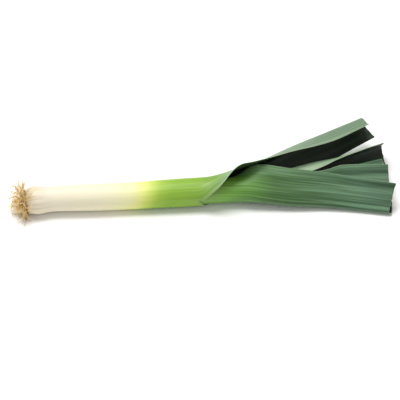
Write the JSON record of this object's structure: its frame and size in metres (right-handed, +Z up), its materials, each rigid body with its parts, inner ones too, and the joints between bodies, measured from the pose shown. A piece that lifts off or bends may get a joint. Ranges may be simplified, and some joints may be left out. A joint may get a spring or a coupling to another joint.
{
  "type": "leek",
  "caption": "Leek lying on its side: a long white shank with a tuft of roots, and folded green leaves that fan out in one plane and are cut off at their tips.",
  "frame": {"origin": "on the surface the leek lies on, at the flat underside of the outermost leaf's sheath", "axes": "+X along the leek towards the leaf tips, +Y towards the side on which the outermost leaf spreads, +Z up from the surface"},
  "size_m": [0.4185, 0.1205, 0.0503],
  "materials": {
    "roots": "dry fibrous root",
    "shank": "smooth, moist ivory white, green towards the leaves",
    "outer_leaf": "satin leaf with a waxy bloom, yellow-green at the sheath and blue-green at the blade",
    "inner_leaf": "satin leaf with a waxy bloom, fine veins along it"
  },
  "bodies": {
    "root": {"roots": "roots", "shank": "shank", "leaf_1": "outer_leaf", "leaf_2": "inner_leaf", "leaf_3": "inner_leaf", "leaf_4": "inner_leaf", "leaf_5": "inner_leaf"}
  },
  "joints": []
}
